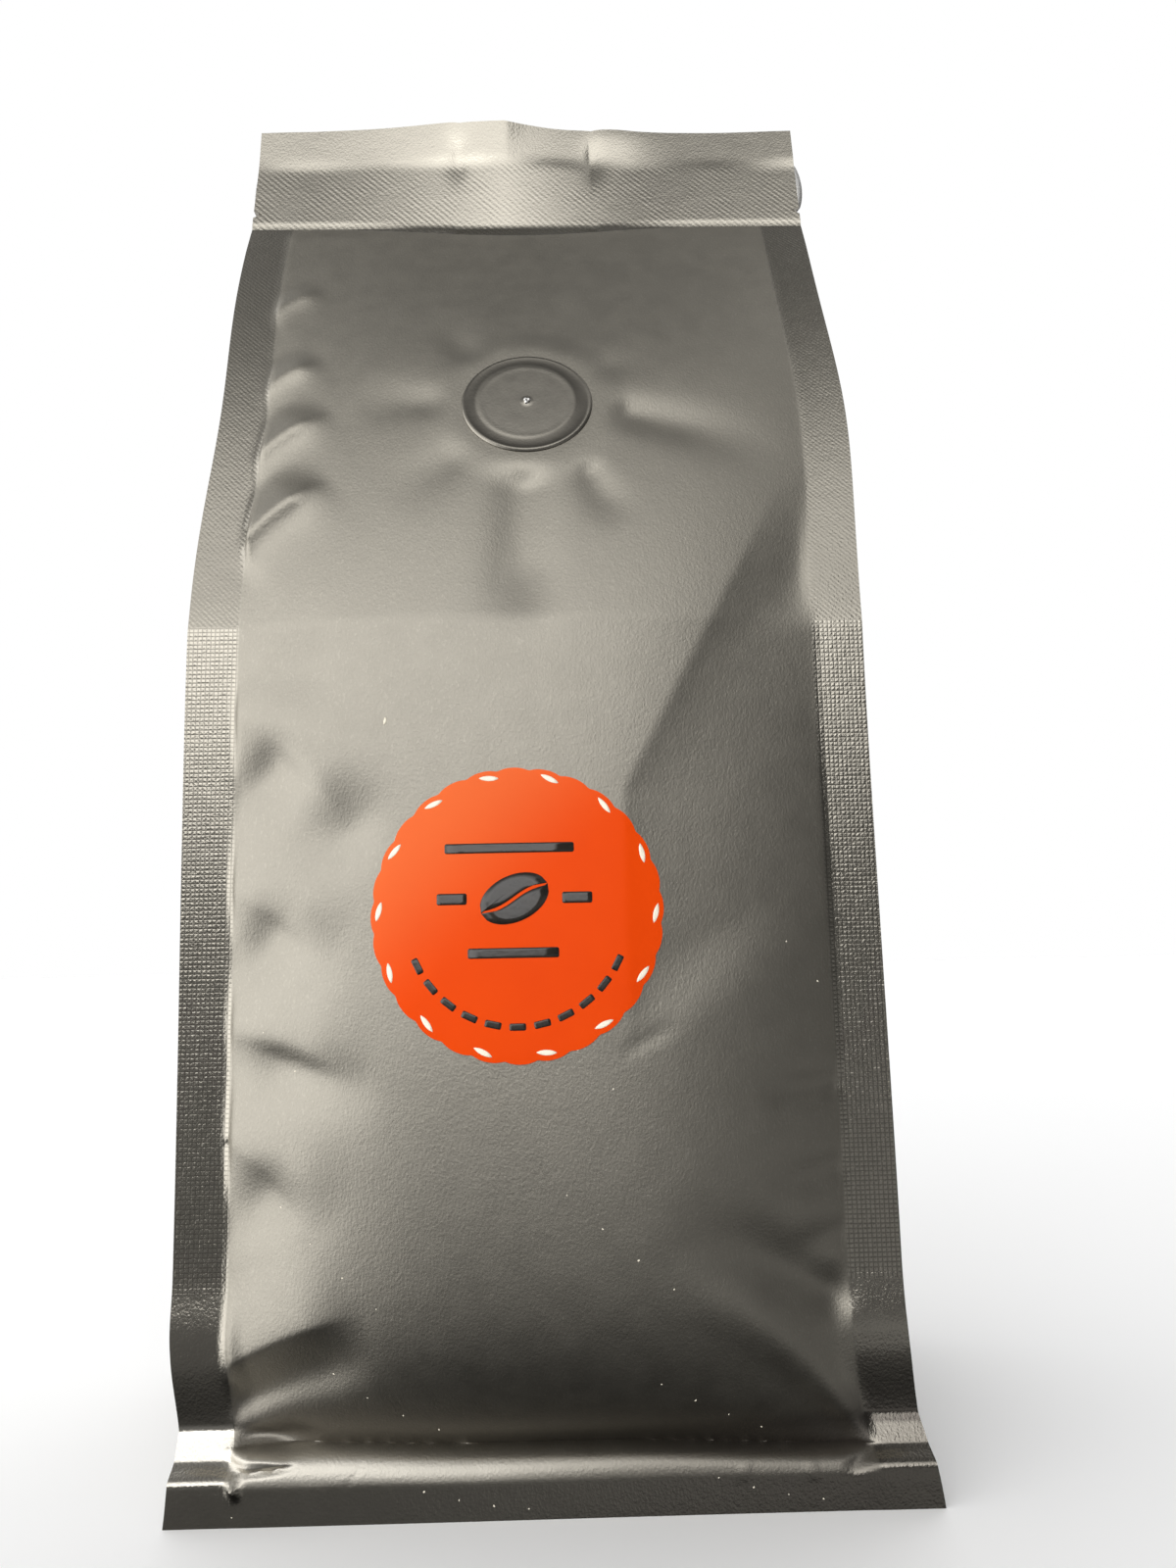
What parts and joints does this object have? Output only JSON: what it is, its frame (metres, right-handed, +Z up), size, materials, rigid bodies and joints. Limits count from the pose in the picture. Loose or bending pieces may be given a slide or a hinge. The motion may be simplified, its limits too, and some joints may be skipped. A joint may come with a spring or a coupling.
{
  "type": "coffee bag",
  "caption": "Flat-bottomed coffee bag in matte black film, full and upright, with corner fins, a sealed header with tear notches, a degassing valve and a round scalloped label.",
  "frame": {"origin": "on the floor, under the middle of the bag", "axes": "+Z up, the front panel with the valve and the label faces -Y, the bag is widest along X"},
  "size_m": [0.1232, 0.1016, 0.27],
  "materials": {
    "film": "matte black metallised film with a satin sheen, embossed fins and a ribbed heat seal",
    "valve_film": "the same black film drawn over a round moulded valve",
    "label_vinyl": "smooth semi-gloss orange-red vinyl with off-white stitch marks and dark print"
  },
  "bodies": {
    "root": {"pouch": "film", "valve": "valve_film", "label": "label_vinyl"}
  },
  "joints": []
}
